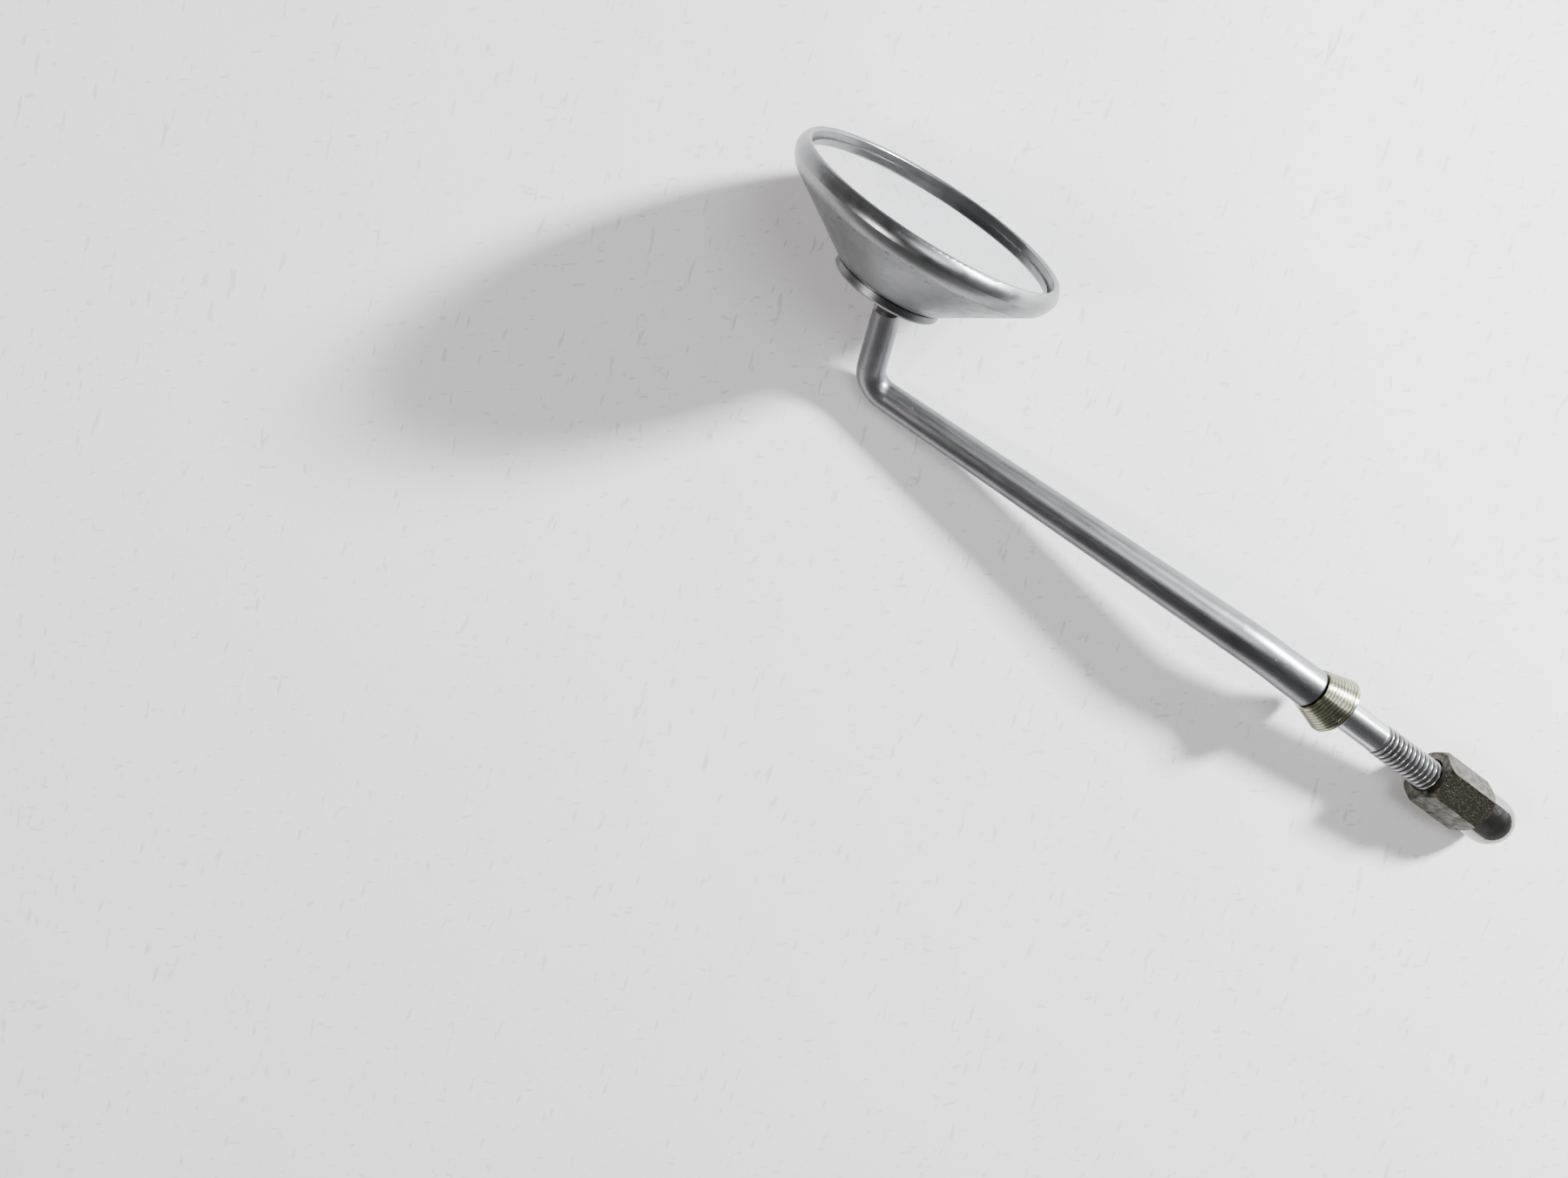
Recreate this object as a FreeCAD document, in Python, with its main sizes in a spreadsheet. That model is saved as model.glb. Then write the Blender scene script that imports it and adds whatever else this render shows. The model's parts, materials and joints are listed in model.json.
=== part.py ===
"""Round mirror on a tapered, twice-bent arm, held by a threaded stud and an acorn nut.

Frame: the origin is where the stud leaves the arm's thick end, on the stud's axis. +Z is up when the
mirror lies face up on a table, and the arm runs from the origin towards -X. Lengths are millimetres.
"""
import FreeCAD, Part
import math
import os
import Sketcher
from FreeCAD import Placement, Rotation, Vector

doc = FreeCAD.newDocument("mirror")

SIZES = {
    # Arm: its route is three straight runs joined by two bends.
    "arm_dip": 5.849,
    "easy_turn": 12.06,
    "easy_roll": -7.2,
    "easy_bend_radius": 60,
    "sharp_turn": 79.1,
    "sharp_roll": 45,
    "sharp_bend_radius": 6.5,
    "thick_run": 17.5,
    "long_run": 109.8,
    "short_run": 22.41,
    "arm_end_radius": 4.95,
    "arm_arch_radius": 4.72,
    "arm_bend_radius": 3.5,
    "arm_tip_radius": 3.32,
    "arm_end_round": 0.7,
    "arm_tip_bevel": 0.6,
    # Stud: root in the arm, seat under the collar, plain shank, thread.
    "stud_root_radius": 3.2,
    "stud_root_depth": 9,
    "seat_radius": 3.95,
    "seat_past_collar": 0.25,
    "shank_radius": 3.75,
    "shank_end": 20.6,
    "thread_radius": 3.97,
    "thread_runout": 0.4,
    "stud_end": 43,
    "stud_end_bevel": 0.8,
    # Tapered collar, loose on the seat.
    "collar_gap": 0.1,
    "collar_length": 7.7,
    "collar_small_radius": 5.4,
    "collar_taper_radius": 7.05,
    "collar_big_radius": 7.25,
    "collar_rim": 1.9,
    "collar_round": 0.55,
    "collar_clearance": 0.15,
    # Acorn nut.
    "nut_face": 37.5,
    "nut_length": 15,
    "nut_across_flats": 12.7,
    "nut_bevel": 1,
    "nut_clearance": 0.06,
    "nut_mouth": 0.5,
    "dome_seat_depth": 1.6,
    "dome_spigot_radius": 5.4,
    "dome_radius": 6.2,
    "dome_straight": 5,
    "dome_wall": 0.8,
    "dome_clearance": 0.05,
    # Ball stud and its dust ring.
    "ball_reach": 10.25,
    "ball_radius": 4.3,
    "neck_radius": 2,
    "neck_root_depth": 8,
    "ring_radius": 2.95,
    "ring_thickness": 1.1,
    # Ball joint inside the boss.
    "head_turn": 2.13,
    "head_rise": 23.4,
    "joint_clearance": 0.15,
    "liner_wall": 0.5,
    "liner_back": 3.6,
    "tilt_room": 30,
    "neck_room": 0.33,
    "cup_split": 0.3,
    "cup_radius": 7,
    "rear_cup_height": 5.55,
    "slide_gap": 0.05,
    "spring_thickness": 0.3,
    "spring_height": 0.6,
    "spring_bore": 2.6,
    "spring_radius": 6,
    "plate_radius": 11.4,
    "plate_thickness": 1.2,
    "plate_bore": 2.4,
    "screw_count": 3,
    "screw_circle": 9.35,
    "screw_radius": 0.95,
    "screw_depth": 5,
    "screw_head_radius": 1.8,
    "screw_head_height": 1,
    "screw_slot": 0.45,
    "screw_slot_depth": 0.5,
    "washer_radius": 1.7,
    "washer_thickness": 0.4,
    "washer_split": 0.35,
    # Housing: heights are measured from the ball's centre, along the head's axis.
    "boss_back": 5.9,
    "boss_radius": 12.9,
    "boss_bevel": 0.5,
    "boss_length": 2.5,
    "boss_wall": 1.3,
    "groove_depth": 0.45,
    "groove_width": 0.5,
    "cone_foot_radius": 13.5,
    "ridge_inset": 1.3,
    "ridge_height": 8.8,
    "band_radius": 32,
    "band_height": 11.6,
    "lip_edge_inset": 0.8,
    "lip_edge_height": 14,
    "lip_height": 14.55,
    "lip_outer_inset": 1.4,
    "lip_inner_round": 0.7,
    "lip_bore": 29.7,
    "lip_bore_height": 14.1,
    "band_lower_round": 6,
    "band_upper_round": 3.4,
    "lip_round": 0.95,
    "housing_wall": 1.5,
    "hub_radius": 11.6,
    "carrier_thickness": 1,
    "carrier_bore": 13.2,
    "foam_thickness": 0.6,
    "foam_margin": 1.5,
    "glass_thickness": 2,
    "glass_height": 12.5,
    "glass_bevel": 0.3,
    "seal_width": 0.4,
    "seal_drop": 0.25,
}


def make_sheet():
    """Put each driving size in the sheet, its name beside it and as its alias."""
    table = doc.addObject("Spreadsheet::Sheet", "dims")
    for row, (alias, value) in enumerate(SIZES.items(), start=1):
        table.set("A%d" % row, alias)
        table.set("B%d" % row, str(value))
        table.setAlias("B%d" % row, alias)
    doc.recompute()
    return table


sheet = make_sheet()


def size(expression):
    """Value of an expression in the sheet's sizes."""
    return float(sheet.evalExpression(expression))


def bind(item, **expressions):
    """Bind an object's properties to expressions."""
    for name, expression in expressions.items():
        item.setExpression(name, expression)


# Places along the head's axis, from the ball's centre, as expressions in the sheet.
BOSS_INNER = "(dims.boss_wall - dims.boss_back)"
BOSS_TOP = "(dims.boss_length - dims.boss_back)"
CUP_BORE = "(dims.ball_radius + dims.liner_wall + 2 * dims.joint_clearance)"
HUB_BORE = "(dims.cup_radius + dims.joint_clearance)"
SPRING_FOOT = "(dims.rear_cup_height + dims.slide_gap)"
PLATE_FOOT = "(%s + dims.spring_height)" % SPRING_FOOT
PLATE_TOP = "(%s + dims.plate_thickness)" % PLATE_FOOT
WASHER_TOP = "(%s + dims.washer_thickness)" % PLATE_TOP
GLASS_FOOT = "(dims.glass_height - dims.glass_thickness)"
FOAM_FOOT = "(%s - dims.foam_thickness)" % GLASS_FOOT
CARRIER_FOOT = "(%s - dims.carrier_thickness)" % FOAM_FOOT
GLASS_RADIUS = "(dims.lip_bore - dims.seal_width)"
RIDGE_RADIUS = "(dims.band_radius - dims.ridge_inset)"
CONE_SLOPE = "((%s - dims.cone_foot_radius) / (dims.ridge_height - %s))" % (RIDGE_RADIUS, BOSS_TOP)
WALL_STEP = "(dims.housing_wall * sqrt(1 + %s^2))" % CONE_SLOPE
# The neck needs a clear cone round the head's axis: its half angle at the ball, and its radius at a depth.
MOUTH_ANGLE = "(asin(dims.neck_radius / dims.ball_radius) / 1 deg + dims.tilt_room)"
CUP_MOUTH = "(%s * cos(%s))" % (CUP_BORE, MOUTH_ANGLE)
NECK_CONE = "((%s) * tan(dims.tilt_room) + dims.neck_radius / cos(dims.tilt_room) + dims.neck_room)"
NUT_BORE = "(dims.thread_radius + dims.nut_clearance)"
NUT_BACK = "(dims.nut_face + dims.nut_length)"
COLLAR_END = "(dims.collar_gap + dims.collar_length)"


def direction(name_of_turn, name_of_roll, along, side, up):
    """Direction reached by turning away from along, towards side rolled towards up."""
    turn = math.radians(size(name_of_turn))
    roll = math.radians(size(name_of_roll))
    across = side * math.cos(roll) + up * math.sin(roll)
    return along * math.cos(turn) + across * math.sin(turn)


def pointing(place, axis, side):
    """Placement whose +Z is axis and whose +X is as near side as it can be."""
    across = side - axis * side.dot(axis)
    return Placement(place, Rotation(across, Vector(), axis, "ZXY"))


# The arm's route, worked out from the sheet: origin, arch, sharp bend, tip, ball.
DIP = math.radians(size("dims.arm_dip"))
LONG_DIRECTION = Vector(-math.cos(DIP), 0, -math.sin(DIP))
LONG_UP = Vector(-math.sin(DIP), 0, math.cos(DIP))
STUD_DIRECTION = direction("dims.easy_turn", "dims.easy_roll", -LONG_DIRECTION, -LONG_UP, Vector(0, 1, 0))
SHORT_DIRECTION = direction("dims.sharp_turn", "dims.sharp_roll", LONG_DIRECTION, Vector(0, 1, 0), LONG_UP)
ORIGIN = Vector(0, 0, 0)
ARCH = ORIGIN - STUD_DIRECTION * size("dims.thick_run")
BEND = ARCH + LONG_DIRECTION * size("dims.long_run")
TIP = BEND + SHORT_DIRECTION * size("dims.short_run")
BALL = TIP + SHORT_DIRECTION * size("dims.ball_reach")
HEAD_TURN = math.radians(size("dims.head_turn"))
HEAD_RISE = math.radians(size("dims.head_rise"))
HEAD_DIRECTION = Vector(
    -math.sin(HEAD_TURN) * math.cos(HEAD_RISE),
    math.cos(HEAD_TURN) * math.cos(HEAD_RISE),
    math.sin(HEAD_RISE),
)
STUD_PLACE = pointing(ORIGIN, STUD_DIRECTION, Vector(0, 0, 1))
NECK_PLACE = pointing(BALL, SHORT_DIRECTION, Vector(1, 0, 0))
HEAD_PLACE = pointing(BALL, HEAD_DIRECTION, Vector(1, 0, 0))


def make_body(label, place):
    """PartDesign body with its label and placement."""
    body = doc.addObject("PartDesign::Body", label)
    body.Label = label
    body.Placement = place
    return body


def new_sketch(body, name, role, offset=None):
    """Sketch on one of the body's own origin planes, lifted by an expression if one is given."""
    sketch = body.newObject("Sketcher::SketchObject", name)
    plane = [item for item in body.Origin.OriginFeatures if item.Role == role][0]
    sketch.AttachmentSupport = [(plane, "")]
    sketch.MapMode = "FlatFace"
    if offset:
        sketch.setExpression("AttachmentOffset.Base.z", offset)
    return sketch


def pin_point(sketch, edge, end, corner):
    """Hold one end of an edge at a corner given as two expressions."""
    for kind, expression in zip(("DistanceX", "DistanceY"), corner):
        constraint = Sketcher.Constraint(kind, -1, 1, edge, end, size(expression))
        index = sketch.addConstraint(constraint)
        sketch.setExpression("Constraints[%d]" % index, expression)


def arc_middle(start, end, radius, side):
    """Middle point of the short arc from start to end; side +1 bulges to the left of the way."""
    chord = end - start
    half = chord.Length / 2
    sagitta = radius - math.sqrt(max(radius * radius - half * half, 0))
    left = Vector(-chord.y, chord.x, 0)
    left.normalize()
    return (start + end) * 0.5 + left * (sagitta * side)


def closed_loop(sketch, corners, arcs=None):
    """Loop through the corners; arcs gives {edge number: (radius expression, side)}."""
    arcs = arcs or {}
    points = [Vector(size(across), size(along), 0) for across, along in corners]
    ends = []
    for number, start in enumerate(points):
        finish = points[(number + 1) % len(points)]
        if number in arcs:
            radius, side = arcs[number]
            middle = arc_middle(start, finish, size(radius), side)
            edge = sketch.addGeometry(Part.Arc(start, middle, finish), False)
            forward = (sketch.getPoint(edge, 1) - start).Length < (sketch.getPoint(edge, 2) - start).Length
            ends.append((edge, 1, 2) if forward else (edge, 2, 1))
        else:
            edge = sketch.addGeometry(Part.LineSegment(start, finish), False)
            ends.append((edge, 1, 2))
    for number, (edge, first, last) in enumerate(ends):
        following = ends[(number + 1) % len(ends)]
        sketch.addConstraint(Sketcher.Constraint("Coincident", edge, last, following[0], following[1]))
        pin_point(sketch, edge, first, corners[number])
        if number in arcs:
            radius = arcs[number][0]
            index = sketch.addConstraint(Sketcher.Constraint("Radius", edge, size(radius)))
            sketch.setExpression("Constraints[%d]" % index, radius)


def bound_circle(sketch, radius, across="0 * dims.neck_radius", along="0 * dims.neck_radius"):
    """Circle whose radius and centre are bound to expressions."""
    centre = Vector(size(across), size(along), 0)
    edge = sketch.addGeometry(Part.Circle(centre, Vector(0, 0, 1), size(radius)), False)
    index = sketch.addConstraint(Sketcher.Constraint("Radius", edge, size(radius)))
    sketch.setExpression("Constraints[%d]" % index, radius)
    pin_point(sketch, edge, 3, (across, along))


def revolve(body, name, corners, arcs=None, cut=False):
    """Turned feature: a closed loop of (radius, height) corners about the body's Z axis."""
    sketch = new_sketch(body, name + "_outline", "XZ_Plane")
    closed_loop(sketch, corners, arcs)
    kind = "PartDesign::Groove" if cut else "PartDesign::Revolution"
    feature = body.newObject(kind, name)
    feature.Profile = sketch
    feature.ReferenceAxis = (sketch, ["V_Axis"])
    feature.Angle = 360
    return feature


def pad(body, name, sketch, length):
    """Pad of a sketch, along +Z of the body."""
    feature = body.newObject("PartDesign::Pad", name)
    feature.Profile = sketch
    bind(feature, Length=length)
    return feature


def pocket(body, name, sketch, depth):
    """Pocket of a sketch, towards -Z of the body."""
    feature = body.newObject("PartDesign::Pocket", name)
    feature.Profile = sketch
    bind(feature, Length=depth)
    return feature


def pattern(body, name, features, count):
    """Copies of features round the body's Z axis."""
    axis = [item for item in body.Origin.OriginFeatures if item.Role == "Z_Axis"][0]
    feature = body.newObject("PartDesign::PolarPattern", name)
    feature.Originals = features
    feature.Axis = (axis, [""])
    feature.Angle = 360
    bind(feature, Occurrences=count)
    body.Tip = feature
    return feature


ZERO = "0 * dims.neck_radius"


def primitive(kind, name, place, **expressions):
    """Part primitive with bound sizes."""
    item = doc.addObject(kind, name)
    bind(item, **expressions)
    item.Placement = place
    return item


def arm_bend(name, corner, incoming, outgoing, bend_radius, tube_radius, turn):
    """Quarter-torus stretch that rounds one corner of the arm's route."""
    radius = size(bend_radius)
    run = radius * math.tan(math.radians(size(turn)) / 2)
    start = corner - incoming * run
    inward = outgoing - incoming * outgoing.dot(incoming)
    inward.normalize()
    centre = start + inward * radius
    place = Placement(centre, Rotation(-inward, incoming, Vector(), "XYZ"))
    return primitive("Part::Torus", name, place, Radius1=bend_radius, Radius2=tube_radius, Angle3=turn)


def make_stem():
    """Tapered arm: three cones, two bends and a bevelled tip, bored for the stud and the neck."""
    easy_run = "dims.easy_bend_radius * tan(dims.easy_turn / 2)"
    sharp_run = "dims.sharp_bend_radius * tan(dims.sharp_turn / 2)"
    side = Vector(0, 1, 0)
    pieces = [
        primitive(
            "Part::Cone",
            "arm_thick_run",
            pointing(ORIGIN, -STUD_DIRECTION, side),
            Radius1="dims.arm_end_radius",
            Radius2="dims.arm_arch_radius",
            Height="dims.thick_run - " + easy_run,
        ),
        arm_bend(
            "arm_arch",
            ARCH,
            -STUD_DIRECTION,
            LONG_DIRECTION,
            "dims.easy_bend_radius",
            "dims.arm_arch_radius",
            "dims.easy_turn",
        ),
        primitive(
            "Part::Cone",
            "arm_long_run",
            pointing(ARCH + LONG_DIRECTION * size(easy_run), LONG_DIRECTION, side),
            Radius1="dims.arm_arch_radius",
            Radius2="dims.arm_bend_radius",
            Height="dims.long_run - %s - %s" % (easy_run, sharp_run),
        ),
        arm_bend(
            "arm_sharp_bend",
            BEND,
            LONG_DIRECTION,
            SHORT_DIRECTION,
            "dims.sharp_bend_radius",
            "dims.arm_bend_radius",
            "dims.sharp_turn",
        ),
        primitive(
            "Part::Cone",
            "arm_short_run",
            pointing(BEND + SHORT_DIRECTION * size(sharp_run), SHORT_DIRECTION, side),
            Radius1="dims.arm_bend_radius",
            Radius2="dims.arm_tip_radius",
            Height="dims.short_run - dims.arm_tip_bevel - " + sharp_run,
        ),
        primitive(
            "Part::Cone",
            "arm_tip",
            pointing(TIP - SHORT_DIRECTION * size("dims.arm_tip_bevel"), SHORT_DIRECTION, side),
            Radius1="dims.arm_tip_radius",
            Radius2="dims.arm_tip_radius - dims.arm_tip_bevel",
            Height="dims.arm_tip_bevel",
        ),
    ]
    solid = doc.addObject("Part::MultiFuse", "arm_solid")
    solid.Shapes = pieces
    bores = doc.addObject("Part::MultiFuse", "arm_bores")
    bores.Shapes = [
        primitive(
            "Part::Cylinder",
            "stud_bore",
            pointing(ORIGIN - STUD_DIRECTION * size("dims.stud_root_depth"), STUD_DIRECTION, side),
            Radius="dims.stud_root_radius",
            Height="dims.stud_root_depth",
        ),
        primitive(
            "Part::Cylinder",
            "neck_bore",
            pointing(TIP - SHORT_DIRECTION * size("dims.neck_root_depth"), SHORT_DIRECTION, side),
            Radius="dims.neck_radius",
            Height="dims.neck_root_depth",
        ),
    ]
    bored = doc.addObject("Part::Cut", "arm_bored")
    bored.Base = solid
    bored.Tool = bores
    doc.recompute()
    rounded = doc.addObject("Part::Fillet", "stem")
    rounded.Label = "stem"
    rounded.Base = bored
    end_round = size("dims.arm_end_round")
    rounded.Edges = [
        (number, end_round, end_round)
        for number, edge in enumerate(bored.Shape.Edges, start=1)
        if is_end_rim(edge)
    ]
    return rounded


def is_end_rim(edge):
    """True for the outer rim of the arm's thick end."""
    if not isinstance(edge.Curve, Part.Circle):
        return False
    at_end = (edge.Curve.Center - ORIGIN).Length < size("dims.collar_gap")
    return at_end and abs(edge.Curve.Radius - size("dims.arm_end_radius")) < size("dims.collar_gap")


def make_mount_stud():
    """Steel stud: root in the arm, collar seat, plain shank and thread, as its outer cylinder."""
    body = make_body("mount_stud", STUD_PLACE)
    seat_end = "%s + dims.seat_past_collar" % COLLAR_END
    revolve(body, "stud_turned", [
        (ZERO, "-dims.stud_root_depth"),
        ("dims.stud_root_radius", "-dims.stud_root_depth"),
        ("dims.stud_root_radius", ZERO),
        ("dims.seat_radius", ZERO),
        ("dims.seat_radius", seat_end),
        ("dims.shank_radius", seat_end),
        ("dims.shank_radius", "dims.shank_end"),
        ("dims.thread_radius", "dims.shank_end + dims.thread_runout"),
        ("dims.thread_radius", "dims.stud_end - dims.stud_end_bevel"),
        ("dims.thread_radius - dims.stud_end_bevel", "dims.stud_end"),
        (ZERO, "dims.stud_end"),
    ])
    return body


def make_taper_collar():
    """Tapered ring, its small end against the arm."""
    body = make_body("taper_collar", STUD_PLACE)
    bore = "dims.seat_radius + dims.collar_clearance"
    revolve(body, "collar_turned", [
        (bore, "dims.collar_gap"),
        ("dims.collar_small_radius", "dims.collar_gap"),
        ("dims.collar_taper_radius", "%s - dims.collar_rim" % COLLAR_END),
        ("dims.collar_big_radius", "%s - dims.collar_rim + dims.collar_round" % COLLAR_END),
        ("dims.collar_big_radius", "%s - dims.collar_round" % COLLAR_END),
        ("dims.collar_big_radius - dims.collar_round", COLLAR_END),
        (bore, COLLAR_END),
    ])
    return body


def make_nut_hex():
    """Hexagonal barrel with bevelled corners, bored through, with a seat for the dome."""
    body = make_body("nut_hex", STUD_PLACE)
    outline = new_sketch(body, "hex_outline", "XY_Plane", "dims.nut_face")
    corner = "dims.nut_across_flats / sqrt(3)"
    closed_loop(outline, [
        ("%s * sin(%d)" % (corner, angle), "%s * cos(%d)" % (corner, angle))
        for angle in range(0, 360, 60)
    ])
    pad(body, "hex_barrel", outline, "dims.nut_length")
    flat = "dims.nut_across_flats / 2"
    outside = "%s + dims.nut_bevel" % corner
    rise = "dims.nut_bevel * (%s - %s) / (%s - %s)" % (outside, flat, corner, flat)
    revolve(body, "front_bevel", [
        (flat, "dims.nut_face"),
        (outside, "dims.nut_face"),
        (outside, "dims.nut_face + " + rise),
    ], cut=True)
    revolve(body, "back_bevel", [
        (flat, NUT_BACK),
        (outside, "%s - %s" % (NUT_BACK, rise)),
        (outside, NUT_BACK),
    ], cut=True)
    mouth = "%s + dims.nut_mouth" % NUT_BORE
    seat_foot = "%s - dims.dome_seat_depth" % NUT_BACK
    seat_radius = "dims.dome_spigot_radius + dims.dome_clearance"
    revolve(body, "nut_bore", [
        (ZERO, "dims.nut_face"),
        (mouth, "dims.nut_face"),
        (NUT_BORE, "dims.nut_face + dims.nut_mouth"),
        (NUT_BORE, seat_foot),
        (seat_radius, seat_foot),
        (seat_radius, NUT_BACK),
        (ZERO, NUT_BACK),
    ], cut=True)
    return body


def make_nut_dome():
    """Domed cap that closes the nut, its spigot in the nut's seat."""
    body = make_body("nut_dome", STUD_PLACE)
    foot = "%s - dims.dome_seat_depth + dims.dome_clearance" % NUT_BACK
    shoulder = "%s + dims.dome_clearance" % NUT_BACK
    spring_line = "%s + dims.dome_straight" % NUT_BACK
    inner = "dims.dome_spigot_radius - dims.dome_wall"
    revolve(body, "dome_turned", [
        (inner, foot),
        ("dims.dome_spigot_radius", foot),
        ("dims.dome_spigot_radius", shoulder),
        ("dims.dome_radius", shoulder),
        ("dims.dome_radius", spring_line),
        (ZERO, "%s + dims.dome_radius" % spring_line),
        (ZERO, "%s + %s" % (spring_line, inner)),
        (inner, spring_line),
    ], arcs={4: ("dims.dome_radius", -1), 6: (inner, 1)})
    return body


def make_ball_stud():
    """Ball on a straight neck, its root in the arm's tip."""
    body = make_body("ball_stud", NECK_PLACE)
    root = "-(dims.ball_reach + dims.neck_root_depth)"
    meeting = "-sqrt(dims.ball_radius^2 - dims.neck_radius^2)"
    side = "dims.ball_radius"
    revolve(body, "ball_turned", [
        (ZERO, root),
        ("dims.neck_radius", root),
        ("dims.neck_radius", meeting),
        (side, ZERO),
        (ZERO, "dims.ball_radius"),
    ], arcs={2: (side, -1), 3: (side, -1)})
    return body


def make_neck_ring():
    """Rubber ring on the neck, against the arm's tip."""
    body = make_body("neck_ring", NECK_PLACE)
    foot = "-dims.ball_reach"
    middle = "dims.ring_thickness / 2 - dims.ball_reach"
    top = "dims.ring_thickness - dims.ball_reach"
    shoulder = "dims.ring_radius - dims.ring_thickness / 4"
    revolve(body, "ring_turned", [
        ("dims.neck_radius", foot),
        (shoulder, foot),
        ("dims.ring_radius", middle),
        (shoulder, top),
        ("dims.neck_radius", top),
    ])
    return body


def zone(radius, height):
    """Corner on a ball-centred sphere at a height."""
    return "sqrt((%s)^2 - (%s)^2)" % (radius, height), height


def make_ball_liner():
    """Plastic zone of a sphere round the ball, open to the neck and at the back."""
    body = make_body("ball_liner", HEAD_PLACE)
    inner = "dims.ball_radius + dims.joint_clearance"
    outer = "%s + dims.liner_wall" % inner
    low = "-(%s) * cos(%s)" % (inner, MOUTH_ANGLE)
    high = "dims.liner_back"
    revolve(body, "liner_turned", [
        zone(inner, low),
        zone(outer, low),
        (outer, ZERO),
        zone(outer, high),
        zone(inner, high),
        (inner, ZERO),
    ], arcs={1: (outer, -1), 2: (outer, -1), 4: (inner, 1), 5: (inner, 1)})
    return body


def make_front_cup():
    """Cup on the neck side of the ball."""
    body = make_body("front_cup", HEAD_PLACE)
    low = "-" + CUP_MOUTH
    high = "-dims.cup_split / 2"
    revolve(body, "front_cup_turned", [
        zone(CUP_BORE, low),
        ("dims.cup_radius", low),
        ("dims.cup_radius", high),
        zone(CUP_BORE, high),
    ], arcs={3: (CUP_BORE, 1)})
    return body


def make_rear_cup():
    """Cup on the glass side of the ball, closed at its back."""
    body = make_body("rear_cup", HEAD_PLACE)
    low = "dims.cup_split / 2"
    top = "dims.rear_cup_height"
    revolve(body, "rear_cup_turned", [
        zone(CUP_BORE, low),
        ("dims.cup_radius", low),
        ("dims.cup_radius", top),
        (ZERO, top),
        (ZERO, CUP_BORE),
    ], arcs={4: (CUP_BORE, 1)})
    return body


def make_front_seat():
    """Ring in the boss that carries the front cup."""
    body = make_body("front_seat", HEAD_PLACE)
    top = "-(%s + dims.slide_gap)" % CUP_MOUTH
    bore = NECK_CONE % ("-" + BOSS_INNER)
    revolve(body, "seat_turned", [
        (bore, BOSS_INNER),
        (HUB_BORE, BOSS_INNER),
        (HUB_BORE, top),
        (bore, top),
    ])
    return body


def make_disc_spring():
    """Coned spring washer that presses the cups together."""
    body = make_body("disc_spring", HEAD_PLACE)
    lower_top = "%s + dims.spring_thickness" % SPRING_FOOT
    upper_foot = "%s - dims.spring_thickness" % PLATE_FOOT
    revolve(body, "spring_turned", [
        ("dims.spring_radius", SPRING_FOOT),
        ("dims.spring_radius", lower_top),
        ("dims.spring_bore", PLATE_FOOT),
        ("dims.spring_bore", upper_foot),
    ])
    return body


def make_clamp_plate():
    """Round plate across the hub, with a centre hole and the screws' holes."""
    body = make_body("clamp_plate", HEAD_PLACE)
    disc = new_sketch(body, "plate_outline", "XY_Plane", PLATE_FOOT)
    bound_circle(disc, "dims.plate_radius")
    bound_circle(disc, "dims.plate_bore")
    pad(body, "plate_disc", disc, "dims.plate_thickness")
    hole = new_sketch(body, "plate_hole_outline", "XY_Plane", PLATE_TOP)
    bound_circle(hole, "dims.screw_radius", "dims.screw_circle")
    cut = pocket(body, "plate_hole", hole, "dims.plate_thickness")
    pattern(body, "plate_holes", [cut], "dims.screw_count")
    return body


def make_clamp_screws():
    """Pan-head screws through the plate into the hub, one solid each, with driver slots."""
    body = make_body("clamp_screws", HEAD_PLACE)
    shank_foot = "(%s - dims.screw_depth)" % PLATE_FOOT
    shank = new_sketch(body, "screw_shank_outline", "XY_Plane", shank_foot)
    bound_circle(shank, "dims.screw_radius", "dims.screw_circle")
    shank_pad = pad(body, "screw_shank", shank, "%s - %s" % (WASHER_TOP, shank_foot))
    head = new_sketch(body, "screw_head_outline", "XY_Plane", WASHER_TOP)
    bound_circle(head, "dims.screw_head_radius", "dims.screw_circle")
    head_pad = pad(body, "screw_head", head, "dims.screw_head_height")
    slot = new_sketch(body, "screw_slot_outline", "XY_Plane", "%s + dims.screw_head_height" % WASHER_TOP)
    near = "dims.screw_circle - 2 * dims.screw_head_radius"
    far = "dims.screw_circle + 2 * dims.screw_head_radius"
    half = "dims.screw_slot / 2"
    closed_loop(slot, [(near, "-" + half), (far, "-" + half), (far, half), (near, half)])
    slot_cut = pocket(body, "screw_slot", slot, "dims.screw_slot_depth")
    pattern(body, "screws_round", [shank_pad, head_pad, slot_cut], "dims.screw_count")
    return body


def make_lock_washers():
    """Split spring washers under the screw heads, one solid each."""
    body = make_body("lock_washers", HEAD_PLACE)
    ring = new_sketch(body, "washer_outline", "XY_Plane", PLATE_TOP)
    bound_circle(ring, "dims.washer_radius", "dims.screw_circle")
    bound_circle(ring, "dims.screw_radius", "dims.screw_circle")
    ring_pad = pad(body, "washer", ring, "dims.washer_thickness")
    gap = new_sketch(body, "washer_gap_outline", "XY_Plane", WASHER_TOP)
    near = "dims.screw_circle"
    far = "dims.screw_circle + 2 * dims.washer_radius"
    half = "dims.washer_split / 2"
    closed_loop(gap, [(near, "-" + half), (far, "-" + half), (far, half), (near, half)])
    gap_cut = pocket(body, "washer_gap", gap, "dims.washer_thickness")
    pattern(body, "washers_round", [ring_pad, gap_cut], "dims.screw_count")
    return body


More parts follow.
